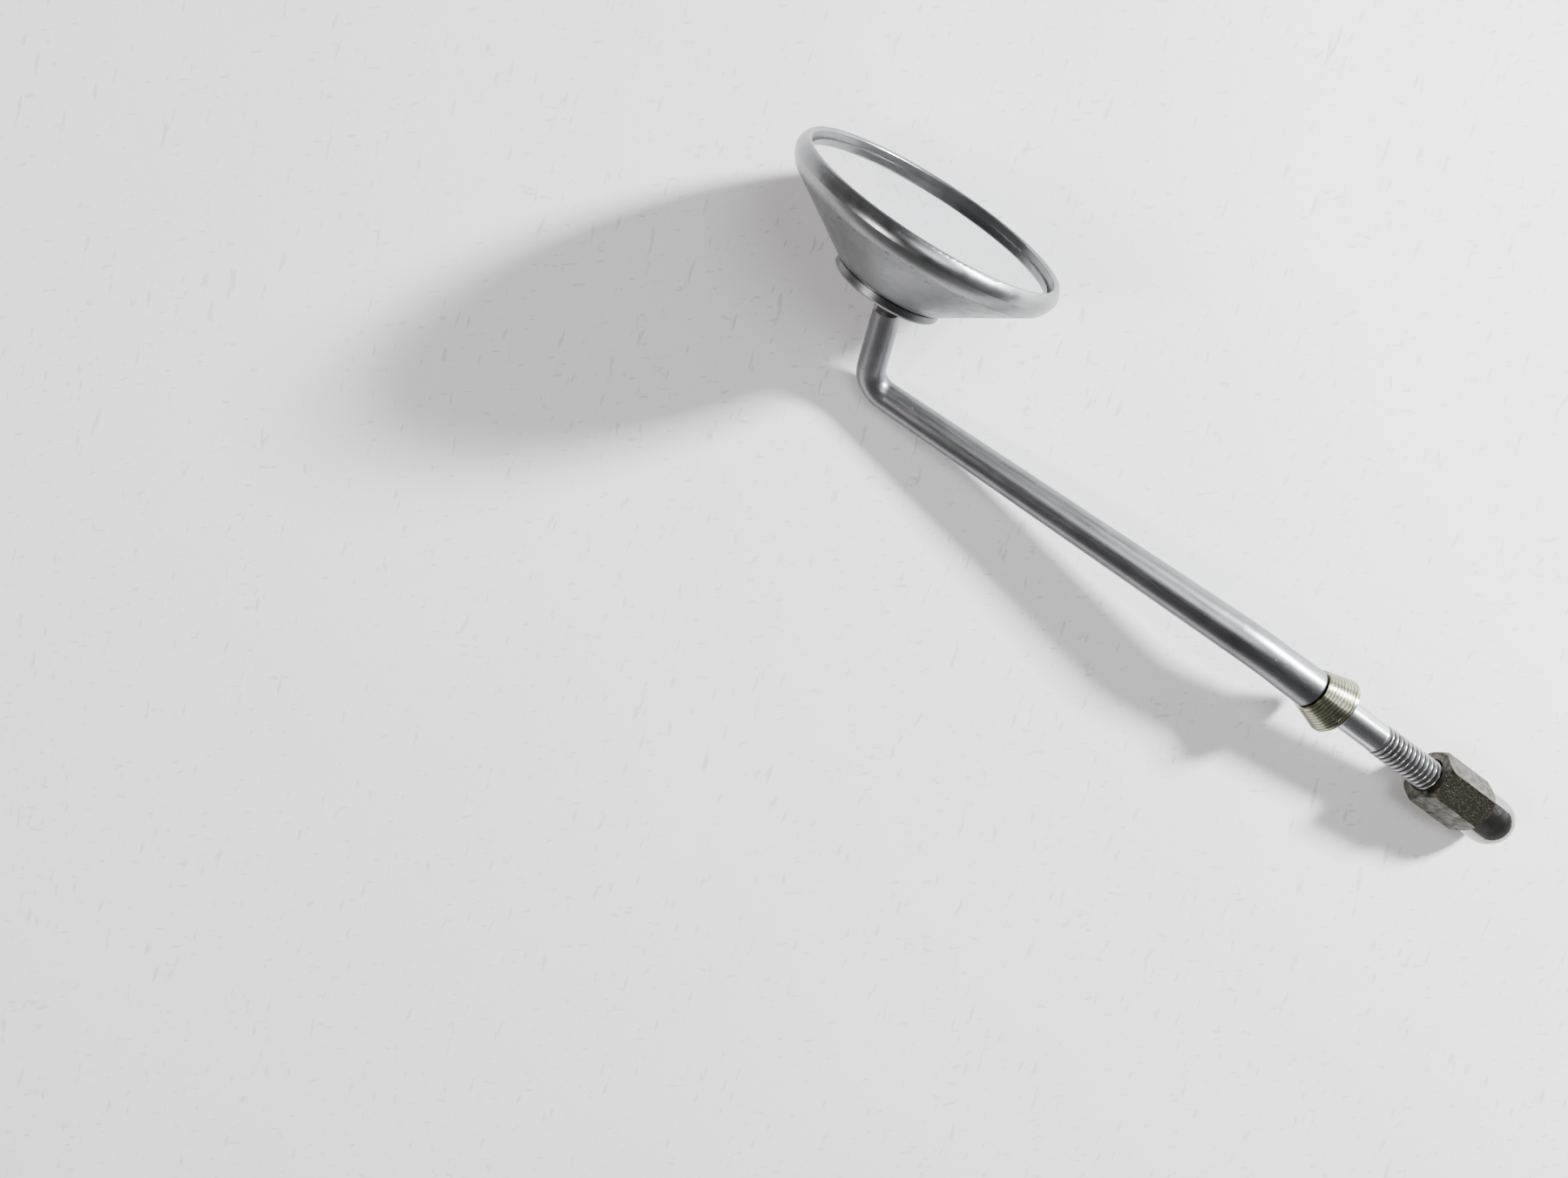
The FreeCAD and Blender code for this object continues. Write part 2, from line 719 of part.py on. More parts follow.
def make_housing_shell():
    """Round shell: boss, groove, cone, ridge, rounded band and lip, hollow round a central hub."""
    body = make_body("housing_shell", HEAD_PLACE)
    back = "-dims.boss_back"
    cone_inner = "dims.cone_foot_radius + %s * (%%s - %s) - %s" % (CONE_SLOPE, BOSS_TOP, WALL_STEP)
    pit_height = "%s + (dims.hub_radius + %s - dims.cone_foot_radius) / %s" % (BOSS_TOP, WALL_STEP, CONE_SLOPE)
    groove_floor = "dims.boss_radius - dims.groove_depth"
    mouth = NECK_CONE % "dims.boss_back"
    revolve(body, "shell_turned", [
        (mouth, back),
        ("dims.boss_radius - dims.boss_bevel", back),
        ("dims.boss_radius", "%s + dims.boss_bevel" % back),
        ("dims.boss_radius", "%s - dims.groove_width" % BOSS_TOP),
        (groove_floor, "%s - dims.groove_width" % BOSS_TOP),
        (groove_floor, BOSS_TOP),
        ("dims.cone_foot_radius", BOSS_TOP),
        (RIDGE_RADIUS, "dims.ridge_height"),
        ("dims.band_radius", "dims.band_height"),
        ("dims.band_radius - dims.lip_edge_inset", "dims.lip_edge_height"),
        ("dims.band_radius - dims.lip_outer_inset", "dims.lip_height"),
        ("dims.lip_bore + dims.lip_inner_round", "dims.lip_height"),
        ("dims.lip_bore", "dims.lip_bore_height"),
        ("dims.lip_bore", CARRIER_FOOT),
        (cone_inner % CARRIER_FOOT, CARRIER_FOOT),
        ("dims.hub_radius", pit_height),
        ("dims.hub_radius", PLATE_FOOT),
        (HUB_BORE, PLATE_FOOT),
        (HUB_BORE, BOSS_INNER),
        (mouth, BOSS_INNER),
    ], arcs={
        7: ("dims.band_lower_round", -1),
        8: ("dims.band_upper_round", -1),
        9: ("dims.lip_round", -1),
        11: ("dims.lip_round", -1),
    })
    hole = new_sketch(body, "hub_hole_outline", "XY_Plane", PLATE_FOOT)
    bound_circle(hole, "dims.screw_radius", "dims.screw_circle")
    cut = pocket(body, "hub_hole", hole, "dims.screw_depth")
    pattern(body, "hub_holes", [cut], "dims.screw_count")
    return body


def turned_disc(label, bore, radius, low, high):
    """Flat disc or ring between two heights on the head's axis."""
    body = make_body(label, HEAD_PLACE)
    revolve(body, label + "_turned", [(bore, low), (radius, low), (radius, high), (bore, high)])
    return body


def make_mirror_glass():
    """Flat round glass with a bevelled front edge."""
    body = make_body("mirror_glass", HEAD_PLACE)
    revolve(body, "glass_turned", [
        (ZERO, GLASS_FOOT),
        (GLASS_RADIUS, GLASS_FOOT),
        (GLASS_RADIUS, "dims.glass_height - dims.glass_bevel"),
        ("%s - dims.glass_bevel" % GLASS_RADIUS, "dims.glass_height"),
        (ZERO, "dims.glass_height"),
    ])
    return body


def check(items):
    """Stop if any object failed or any sub-part has no valid solid."""
    failed = [item.Name for item in doc.Objects if {"Invalid", "Error"} & set(item.State)]
    if failed:
        raise RuntimeError("objects failed: " + ", ".join(failed))
    for item in items:
        if item.Shape.isNull() or not item.Shape.isValid() or not item.Shape.Solids:
            raise RuntimeError("no valid solid in " + item.Label)


def main():
    """Build every sub-part, check them and write one STEP file each."""
    seal_top = "dims.glass_height - dims.seal_drop"
    items = [
        make_stem(),
        make_mount_stud(),
        make_taper_collar(),
        make_nut_hex(),
        make_nut_dome(),
        make_ball_stud(),
        make_neck_ring(),
        make_ball_liner(),
        make_front_cup(),
        make_rear_cup(),
        make_front_seat(),
        make_disc_spring(),
        make_clamp_plate(),
        make_clamp_screws(),
        make_lock_washers(),
        make_housing_shell(),
        turned_disc("glass_carrier", "dims.carrier_bore", "dims.lip_bore", CARRIER_FOOT, FOAM_FOOT),
        turned_disc("foam_pad", ZERO, "dims.lip_bore - dims.foam_margin", FOAM_FOOT, GLASS_FOOT),
        make_mirror_glass(),
        turned_disc("glass_seal", GLASS_RADIUS, "dims.lip_bore", GLASS_FOOT, seal_top),
    ]
    doc.recompute()
    check(items)
    os.makedirs("parts", exist_ok=True)
    for item in items:
        item.Shape.exportStep("parts/%s.step" % item.Label)
        box = item.Shape.BoundBox
        print("%-15s solids %d volume %9.2f low z %8.3f" % (
            item.Label, len(item.Shape.Solids), item.Shape.Volume, box.ZMin))


main()
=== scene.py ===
"""Looks of the round stem mirror: finishes, thread, floor, soft light and camera.

Everything is in metres, in the CAD model's frame. MM turns a length in millimetres into metres.
Colours are linear red, green and blue.
"""
import json
import math

import bmesh
import bpy
from mathutils import Matrix, Vector


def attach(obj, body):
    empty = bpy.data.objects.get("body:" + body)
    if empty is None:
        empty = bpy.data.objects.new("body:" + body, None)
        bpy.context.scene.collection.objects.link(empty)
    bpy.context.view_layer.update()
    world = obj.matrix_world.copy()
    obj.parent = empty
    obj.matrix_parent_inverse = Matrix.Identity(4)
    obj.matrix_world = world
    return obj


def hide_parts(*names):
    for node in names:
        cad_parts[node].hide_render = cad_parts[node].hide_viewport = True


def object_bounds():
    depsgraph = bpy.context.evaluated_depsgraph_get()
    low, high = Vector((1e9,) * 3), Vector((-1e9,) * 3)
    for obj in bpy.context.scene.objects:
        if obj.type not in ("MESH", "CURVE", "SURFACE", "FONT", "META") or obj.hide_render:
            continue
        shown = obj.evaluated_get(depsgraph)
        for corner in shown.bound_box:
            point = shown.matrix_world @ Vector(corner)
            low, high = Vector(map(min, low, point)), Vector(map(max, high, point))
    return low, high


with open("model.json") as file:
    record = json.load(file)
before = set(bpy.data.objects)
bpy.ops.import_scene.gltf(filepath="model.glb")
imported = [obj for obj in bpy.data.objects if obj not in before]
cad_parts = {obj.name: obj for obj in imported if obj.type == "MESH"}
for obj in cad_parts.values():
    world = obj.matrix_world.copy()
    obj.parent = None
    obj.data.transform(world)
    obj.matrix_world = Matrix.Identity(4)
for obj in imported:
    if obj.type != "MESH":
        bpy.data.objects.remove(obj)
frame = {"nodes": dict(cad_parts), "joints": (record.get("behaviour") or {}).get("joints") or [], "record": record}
cad_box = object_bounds()

MM = 0.001
nodes = frame["nodes"]
mounts = {mount["name"]: mount for mount in frame["record"]["mounts"]}
joints = {joint["name"]: joint for joint in frame["joints"]}

# The axes that most finishes follow.
STUD_AXIS = Vector(mounts["stud_root"]["axis"])
STUD_ORIGIN = Vector(mounts["stud_root"]["pos_m"])
HEAD_AXIS = Vector(joints["head_spin"]["axis"])
HEAD_CENTRE = Vector(joints["head_spin"]["pos_m"])
ARM_AXIS = Vector((-1, 0, -0.1)).normalized()

# Stud, as the CAD model has it: distances run along its axis from the arm's end.
STUD_ROOT_RADIUS = 3.2 * MM
STUD_ROOT_DEPTH = 9 * MM
SEAT_RADIUS = 3.95 * MM
SEAT_END = 8.05 * MM
SHANK_RADIUS = mounts["shank"]["dims"]["r_mm"] * MM
SHANK_END = 20.6 * MM
THREAD_RADIUS = 3.97 * MM
STUD_END = 43 * MM
STUD_END_BEVEL = 0.8 * MM

# Thread form, which the CAD model leaves out. The flats are shares of half a pitch.
THREAD_PITCH = 1.411 * MM
THREAD_DEPTH = 0.78 * MM
THREAD_RUNOUT = 1.6 * MM
ROOT_FLAT = 0.16
CREST_FLAT = 0.16
RINGS_PER_PITCH = 14
STUD_SEGMENTS = 96

# Height of the shell's ridge along the head's axis, from the ball's centre.
RIDGE_HEIGHT = 8.8 * MM

# Wear on the nut's edges.
EDGE_WIDTH = 0.22 * MM
EDGE_SEGMENTS = 2
EDGE_ANGLE = 22

# Where most of a noise texture's values lie.
NOISE_LOW = 0.3
NOISE_HIGH = 0.7

# Sockets of the Mix node, for values and for colours.
VALUE_FIRST, VALUE_SECOND, VALUE_RESULT = 2, 3, 0
COLOUR_FIRST, COLOUR_SECOND, COLOUR_RESULT = 6, 7, 2

# Wave texture phase in one unit of its scaled coordinate, in radians.
WAVE_PHASE = 20

# Floor, lights and camera.
FLOOR_REACH = 1.6
FLOOR_SEGMENTS = 4
LIGHT_AIM = Vector((-60, 10, 0)) * MM
ROOM_STRENGTH = 0.4
CAMERA_PLACE = Vector((-132.4, -18.8, 273.4)) * MM
CAMERA_FORWARD = Vector((0.0598, -0.1134, -0.9918))
CAMERA_UP = Vector((-0.5572, 0.8206, -0.1274))
CAMERA_SENSOR = 36
CAMERA_LENS = 27.06
CAMERA_NEAREST = 10 * MM


class Finish:
    """A node material: a Principled shader with helpers that add and link nodes."""

    def __init__(self, name, colour, metallic, roughness):
        self.material = bpy.data.materials.new(name)
        self.material.use_nodes = True
        self.tree = self.material.node_tree
        self.shader = self.tree.nodes["Principled BSDF"]
        self.shader.inputs["Base Color"].default_value = (*colour, 1)
        self.shader.inputs["Metallic"].default_value = metallic
        self.shader.inputs["Roughness"].default_value = roughness
        self.coordinates = self.tree.nodes.new("ShaderNodeTexCoord").outputs["Object"]

    def node(self, kind, **settings):
        """New node with some of its properties set."""
        item = self.tree.nodes.new(kind)
        for key, value in settings.items():
            setattr(item, key, value)
        return item

    def feed(self, socket, value):
        """Link an output to a socket, or set the socket's own value."""
        if isinstance(value, bpy.types.NodeSocket):
            self.tree.links.new(value, socket)
        elif socket.type == "RGBA":
            socket.default_value = (*value, 1)
        else:
            socket.default_value = value

    def along(self, origin, axis, stretch=(1, 1, 1)):
        """Coordinates with +Z along an axis; stretch multiplies each of them."""
        local = self.node("ShaderNodeMapping", vector_type="TEXTURE")
        self.feed(local.inputs["Vector"], self.coordinates)
        self.feed(local.inputs["Location"], origin)
        self.feed(local.inputs["Rotation"], axis.to_track_quat("Z", "Y").to_euler())
        scaled = self.node("ShaderNodeMapping")
        self.feed(scaled.inputs["Vector"], local.outputs["Vector"])
        self.feed(scaled.inputs["Scale"], Vector(stretch))
        return scaled.outputs["Vector"]

    def noise(self, size, detail=3.0, roughness=0.5, vector=None, distortion=0.0):
        """Noise whose features are about size metres across."""
        item = self.node("ShaderNodeTexNoise")
        self.feed(item.inputs["Vector"], vector or self.coordinates)
        self.feed(item.inputs["Scale"], 1 / size)
        self.feed(item.inputs["Detail"], detail)
        self.feed(item.inputs["Roughness"], roughness)
        self.feed(item.inputs["Distortion"], distortion)
        return item.outputs["Fac"]

    def rings(self, width, vector, waver):
        """Turned rings of a width across local Z."""
        item = self.node("ShaderNodeTexWave", bands_direction="Z")
        self.feed(item.inputs["Vector"], vector)
        self.feed(item.inputs["Scale"], math.tau / (WAVE_PHASE * width))
        self.feed(item.inputs["Distortion"], waver)
        self.feed(item.inputs["Detail"], 2.0)
        return item.outputs["Fac"]

    def levels(self, value, low, high, first=0.0, last=1.0):
        """Value remapped from low..high to first..last, clamped."""
        item = self.node("ShaderNodeMapRange")
        self.feed(item.inputs["Value"], value)
        self.feed(item.inputs["From Min"], low)
        self.feed(item.inputs["From Max"], high)
        self.feed(item.inputs["To Min"], first)
        self.feed(item.inputs["To Max"], last)
        return item.outputs["Result"]

    def uneven(self, noise, first, last):
        """Noise spread over first..last."""
        return self.levels(noise, NOISE_LOW, NOISE_HIGH, first, last)

    def maths(self, operation, first, second=0.0):
        """One arithmetic step."""
        item = self.node("ShaderNodeMath", operation=operation)
        self.feed(item.inputs[0], first)
        self.feed(item.inputs[1], second)
        return item.outputs["Value"]

    def times(self, first, second):
        """Product of two values."""
        return self.maths("MULTIPLY", first, second)

    def mix(self, factor, first, second):
        """Colour between two colours."""
        item = self.node("ShaderNodeMix", data_type="RGBA")
        self.feed(item.inputs["Factor"], factor)
        self.feed(item.inputs[COLOUR_FIRST], first)
        self.feed(item.inputs[COLOUR_SECOND], second)
        return item.outputs[COLOUR_RESULT]

    def between(self, factor, first, second):
        """Value between two values."""
        item = self.node("ShaderNodeMix", data_type="FLOAT")
        self.feed(item.inputs["Factor"], factor)
        self.feed(item.inputs[VALUE_FIRST], first)
        self.feed(item.inputs[VALUE_SECOND], second)
        return item.outputs[VALUE_RESULT]

    def part(self, vector, letter):
        """One component of a vector."""
        item = self.node("ShaderNodeSeparateXYZ")
        self.feed(item.inputs["Vector"], vector)
        return item.outputs[letter]

    def radius(self, vector):
        """Distance from local Z."""
        across = self.maths("POWER", self.part(vector, "X"), 2)
        along = self.maths("POWER", self.part(vector, "Y"), 2)
        return self.maths("SQRT", self.maths("ADD", across, along))

    def colour(self, value):
        """Base colour from a node."""
        self.feed(self.shader.inputs["Base Color"], value)

    def rough(self, value, added=None):
        """Roughness from a node, with another added if there is one."""
        if added:
            value = self.maths("ADD", value, added)
        self.feed(self.shader.inputs["Roughness"], value)

    def bumps(self, *layers):
        """Chain of bumps, each a (height, depth in metres, strength)."""
        normal = None
        for height, depth, strength in layers:
            item = self.node("ShaderNodeBump")
            self.feed(item.inputs["Height"], height)
            self.feed(item.inputs["Distance"], depth)
            self.feed(item.inputs["Strength"], strength)
            if normal:
                self.feed(item.inputs["Normal"], normal)
            normal = item.outputs["Normal"]
        self.feed(self.shader.inputs["Normal"], normal)


def satin_arm():
    """Satin casting: lengthwise sheen, faint orange peel and a few dark specks."""
    finish = Finish("satin_arm", (0.63, 0.63, 0.62), metallic=1.0, roughness=0.2)
    clean = (0.225, 0.225, 0.235)
    stained = (0.15, 0.15, 0.155)
    speck = (0.10, 0.10, 0.09)
    lengthwise = finish.along(STUD_ORIGIN, ARM_AXIS, stretch=(1, 1, 0.06))
    streaks = finish.noise(0.5 * MM, detail=4, roughness=0.6, vector=lengthwise)
    specks = finish.levels(finish.noise(0.9 * MM, detail=2, roughness=0.4), low=0.70, high=0.76)
    stains = finish.levels(finish.noise(9 * MM, detail=2), low=0.35, high=0.75)
    peel = finish.noise(1.8 * MM, detail=2)
    finish.colour(finish.mix(finish.times(specks, 0.65), finish.mix(stains, clean, stained), speck))
    finish.rough(finish.uneven(streaks, first=0.29, last=0.38), added=finish.times(specks, 0.3))
    finish.bumps((peel, 0.03 * MM, 0.35), (streaks, 0.006 * MM, 0.4), (specks, -0.02 * MM, 0.5))
    return finish.material


def shell_finish():
    """Shell: satin cone and boss darkened with painted shade, specked ridge, lighter band and lip."""
    finish = Finish("satin_shell", (0.62, 0.62, 0.61), metallic=1.0, roughness=0.2)
    # Cone and boss tones: the same satin metal as the band, darkened as painted shade.
    cone_shade_light = (0.150, 0.152, 0.155)
    cone_shade_dark = (0.098, 0.101, 0.104)
    rim_light = (0.265, 0.265, 0.272)
    rim_dark = (0.205, 0.208, 0.21)
    speck = (0.08, 0.08, 0.075)

    local = finish.along(HEAD_CENTRE, HEAD_AXIS)
    height = finish.part(local, "Z")
    on_rim = finish.levels(height, RIDGE_HEIGHT - 0.2 * MM, RIDGE_HEIGHT + 0.5 * MM)
    ridge_distance = finish.maths("ABSOLUTE", finish.maths("SUBTRACT", height, RIDGE_HEIGHT - 0.5 * MM))
    near_ridge = finish.levels(ridge_distance, 0.4 * MM, 2.2 * MM, first=1.0, last=0.0)
    chips = finish.levels(finish.noise(0.75 * MM, detail=3, roughness=0.55), low=0.60, high=0.68)
    loose = finish.levels(finish.noise(1.1 * MM, detail=2, roughness=0.4), low=0.71, high=0.77)
    specks = finish.maths("MAXIMUM", finish.times(chips, near_ridge), finish.times(loose, 0.6))
    broad = finish.levels(finish.noise(11 * MM), low=0.35, high=0.7)
    # The cone's colour is painted shade over the band's metal; the broad noise is real tone.
    cone = finish.mix(broad, cone_shade_light, cone_shade_dark)
    rim = finish.mix(broad, rim_light, rim_dark)
    finish.colour(finish.mix(finish.times(specks, 0.75), finish.mix(on_rim, cone, rim), speck))

    cone_gloss = finish.uneven(finish.noise(2.2 * MM), first=0.30, last=0.40)
    rim_gloss = finish.uneven(finish.noise(3.0 * MM), first=0.27, last=0.35)
    finish.rough(finish.between(on_rim, cone_gloss, rim_gloss), added=finish.times(specks, 0.25))
    turned = finish.rings(0.16 * MM, local, waver=1.5)
    ripple = finish.noise(4.5 * MM, detail=2)
    finish.bumps((ripple, 0.04 * MM, 0.4), (turned, 0.003 * MM, 0.25), (specks, -0.03 * MM, 0.6))
    return finish.material


def stud_finish():
    """Zinc-plated stud: drawn shank, thread roots painted dark as painted shade so the crests read bright, a spot
    of rust.
    """
    finish = Finish("zinc_stud", (0.70, 0.70, 0.71), metallic=1.0, roughness=0.18)
    zinc_light = (0.54, 0.54, 0.56)
    zinc_dark = (0.36, 0.36, 0.37)
    # Near-black painted shade for the thread roots.
    root_shade = (0.055, 0.053, 0.05)
    rust_brown = (0.085, 0.035, 0.016)
    rust_centre = SHANK_END + 4.2 * MM

    local = finish.along(STUD_ORIGIN, STUD_AXIS)
    height = finish.part(local, "Z")
    lengthwise = finish.along(STUD_ORIGIN, STUD_AXIS, stretch=(1, 1, 0.04))
    drawn = finish.noise(0.3 * MM, roughness=0.6, vector=lengthwise)
    tones = finish.levels(drawn, low=0.42, high=0.62)
    crest = finish.levels(finish.radius(local), THREAD_RADIUS - 0.45 * MM, THREAD_RADIUS - 0.06 * MM)
    on_thread = finish.levels(height, SHANK_END - 0.3 * MM, SHANK_END + 0.8 * MM)
    groove = finish.times(finish.maths("SUBTRACT", 1.0, crest), on_thread)
    rust_distance = finish.maths("ABSOLUTE", finish.maths("SUBTRACT", height, rust_centre))
    spot = finish.levels(rust_distance, 0.5 * MM, 2.0 * MM, first=1.0, last=0.0)
    grit = finish.levels(finish.noise(1.3 * MM, detail=4, roughness=0.7), low=0.50, high=0.60)
    rust = finish.times(finish.times(spot, grit), 0.8)
    # Thread roots darkened with painted shade.
    root_shaded = finish.mix(finish.times(groove, 0.9), finish.mix(tones, zinc_light, zinc_dark), root_shade)
    finish.colour(finish.mix(rust, root_shaded, rust_brown))

    dull = finish.maths("ADD", finish.times(groove, 0.3), finish.times(rust, 0.4))
    finish.rough(finish.uneven(drawn, first=0.20, last=0.30), added=dull)
    finish.bumps((drawn, 0.008 * MM, 0.5), (tones, 0.01 * MM, 0.3))
    return finish.material


def collar_finish():
    """Turned collar, zinc yellowed to olive, with cutting rings and dark nicks."""
    finish = Finish("yellow_zinc", (0.62, 0.60, 0.47), metallic=1.0, roughness=0.25)
    olive_light = (0.40, 0.41, 0.29)
    olive_dark = (0.27, 0.275, 0.19)
    ring_dark = (0.06, 0.06, 0.038)
    nick_dark = (0.12, 0.12, 0.09)

    local = finish.along(STUD_ORIGIN, STUD_AXIS)
    fine = finish.rings(0.09 * MM, local, waver=1.2)
    coarse = finish.levels(finish.rings(0.75 * MM, local, waver=4.0), low=0.5, high=0.8)
    crosswise = finish.along(STUD_ORIGIN, STUD_AXIS, stretch=(0.35, 0.35, 3))
    nick_noise = finish.noise(0.7 * MM, roughness=0.6, vector=crosswise)
    nicks = finish.levels(nick_noise, low=0.62, high=0.7)
    tones = finish.levels(finish.noise(3.5 * MM), low=0.35, high=0.65)
    plating = finish.mix(tones, olive_light, olive_dark)
    lined = finish.mix(finish.times(coarse, 0.8), plating, ring_dark)
    finish.colour(finish.mix(finish.times(nicks, 0.7), lined, nick_dark))
    finish.rough(finish.levels(fine, low=0.0, high=1.0, first=0.16, last=0.34))
    finish.bumps((fine, 0.012 * MM, 0.5), (coarse, 0.02 * MM, 0.35), (nicks, -0.03 * MM, 0.6))
    return finish.material


def nut_finish():
    """Rough, mottled nickel on the nut's flats."""
    finish = Finish("mottled_nickel", (0.30, 0.29, 0.24), metallic=1.0, roughness=0.4)
    dark = (0.018, 0.017, 0.012)
    light = (0.095, 0.09, 0.07)
    pit = (0.012, 0.011, 0.008)
    patch_noise = finish.noise(1.5 * MM, detail=5, roughness=0.65, distortion=0.4)
    patches = finish.levels(patch_noise, low=0.36, high=0.64)
    pits = finish.levels(finish.noise(0.45 * MM, roughness=0.6), low=0.52, high=0.62)
    finish.colour(finish.mix(finish.times(pits, 0.55), finish.mix(patches, dark, light), pit))
    finish.rough(finish.levels(patches, low=0.0, high=1.0, first=0.48, last=0.30))
    finish.bumps((patches, 0.06 * MM, 0.5), (pits, -0.05 * MM, 0.6))
    return finish.material


def worn_edge_finish():
    """Bright metal where the nut's edges have rubbed."""
    finish = Finish("worn_edge", (0.70, 0.68, 0.60), metallic=1.0, roughness=0.22)
    bright = (0.52, 0.50, 0.44)
    dark = (0.12, 0.11, 0.08)
    rub = finish.levels(finish.noise(0.8 * MM, detail=4, roughness=0.6), low=0.40, high=0.66)
    finish.colour(finish.mix(rub, bright, dark))
    finish.rough(finish.levels(rub, low=0.0, high=1.0, first=0.18, last=0.42))
    finish.bumps((rub, 0.02 * MM, 0.5))
    return finish.material


def dome_finish():
    """Polished dome with faint smears."""
    finish = Finish("polished_dome", (0.66, 0.65, 0.62), metallic=1.0, roughness=0.1)
    clean = (0.30, 0.295, 0.285)
    smeared = (0.20, 0.195, 0.18)
    smear_noise = finish.noise(2.4 * MM, detail=4, roughness=0.55, distortion=0.6)
    smears = finish.levels(smear_noise, low=0.40, high=0.70)
    finish.colour(finish.mix(smears, clean, smeared))
    finish.rough(finish.levels(smears, low=0.0, high=1.0, first=0.09, last=0.2))
    finish.bumps((smears, 0.01 * MM, 0.3))
    return finish.material


def mirror_finish():
    """Back-silvered glass with a few smudges and dust."""
    finish = Finish("silvered_glass", (0.80, 0.81, 0.80), metallic=1.0, roughness=0.03)
    clean = (0.60, 0.61, 0.64)
    hazy = (0.56, 0.57, 0.60)
    dusty = (0.40, 0.40, 0.39)
    smudge_noise = finish.noise(7 * MM, detail=5, roughness=0.6, distortion=0.8)
    smudges = finish.levels(smudge_noise, low=0.52, high=0.72)
    dust = finish.levels(finish.noise(0.35 * MM, detail=2), low=0.70, high=0.76)
    finish.colour(finish.mix(finish.times(dust, 0.3), finish.mix(smudges, clean, hazy), dusty))
    gloss = finish.levels(smudges, low=0.0, high=1.0, first=0.03, last=0.045)
    finish.rough(gloss, added=finish.times(dust, 0.2))
    finish.bumps((smudges, 0.0005 * MM, 0.1))
    finish.shader.inputs["Coat Weight"].default_value = 1.0
    finish.shader.inputs["Coat Roughness"].default_value = 0.02
    return finish.material


def plain_metal(name, light, dark, smooth, dull, grain):
    """Small steel piece: two tones, uneven gloss and a fine grain."""
    finish = Finish(name, light, metallic=1.0, roughness=smooth)
    tones = finish.levels(finish.noise(grain * 3, detail=4, roughness=0.6), low=0.35, high=0.65)
    fine = finish.noise(grain, roughness=0.6)
    finish.colour(finish.mix(tones, light, dark))
    finish.rough(finish.uneven(fine, first=smooth, last=dull))
    finish.bumps((fine, 0.01 * MM, 0.5))
    return finish.material


def moulded(name, light, dark, smooth, dull, grain, depth):
    """Moulded rubber, plastic or foam: two tones, uneven gloss and a grain of a depth."""
    finish = Finish(name, light, metallic=0.0, roughness=smooth)
    tones = finish.levels(finish.noise(grain * 6, detail=4, roughness=0.6), low=0.35, high=0.65)
    fine = finish.noise(grain, detail=4, roughness=0.65)
    finish.colour(finish.mix(tones, light, dark))
    finish.rough(finish.uneven(fine, first=smooth, last=dull))
    finish.bumps((fine, depth, 0.6))
    return finish.material


def table_finish():
    """White painted table top with faint tones and two families of fine scratches."""
    finish = Finish("pale_table", (0.90, 0.895, 0.90), metallic=0.0, roughness=0.5)
    light = (0.93, 0.925, 0.93)
    dark = (0.90, 0.895, 0.90)
    scratched = (0.52, 0.52, 0.52)
    drawn = finish.along(Vector(), Vector((0.75, 0.6, 0.28)).normalized(), stretch=(1, 1, 0.03))
    crossed = finish.along(Vector(), Vector((-0.3, 0.93, 0.2)).normalized(), stretch=(1, 1, 0.05))
    scratches = finish.maths(
        "MAXIMUM",
        finish.levels(finish.noise(1.1 * MM, detail=2, vector=drawn), low=0.66, high=0.72),
        finish.levels(finish.noise(1.6 * MM, detail=2, vector=crossed), low=0.66, high=0.72),
    )
    paint = finish.mix(finish.uneven(finish.noise(60 * MM), first=0.0, last=1.0), light, dark)
    finish.colour(finish.mix(finish.times(scratches, 0.5), paint, scratched))
    finish.rough(finish.uneven(finish.noise(12 * MM), first=0.58, last=0.70))
    finish.bumps((finish.noise(1.2 * MM), 0.02 * MM, 0.15), (scratches, -0.02 * MM, 0.3))
    return finish.material


def put_on(material, *names):
    """Give CAD nodes a finish in every slot."""
    for name in names:
        mesh = nodes[name].data
        mesh.materials.clear()
        mesh.materials.append(material)


def wear_nut():
    """Soften the nut's edges and give the softened strips a bright worn finish."""
    nut = nodes["nut_hex"]
    put_on(nut_finish(), "nut_hex")
    nut.data.materials.append(worn_edge_finish())
    bevel = nut.modifiers.new("worn_edges", "BEVEL")
    bevel.width = EDGE_WIDTH
    bevel.segments = EDGE_SEGMENTS
    bevel.limit_method = "ANGLE"
    bevel.angle_limit = math.radians(EDGE_ANGLE)
    bevel.material = 1
    bevel.harden_normals = True


def dress_outside():
    """Finishes for the CAD nodes seen from outside."""
    put_on(satin_arm(), "stem")
    put_on(shell_finish(), "housing_shell")
    put_on(collar_finish(), "taper_collar")
    put_on(dome_finish(), "nut_dome")
    put_on(mirror_finish(), "mirror_glass")
    wear_nut()
    put_on(moulded(
        "black_rubber",
        light=(0.022, 0.022, 0.022), dark=(0.035, 0.034, 0.032),
        smooth=0.55, dull=0.75, grain=0.2 * MM, depth=0.02 * MM,
    ), "neck_ring", "glass_seal")


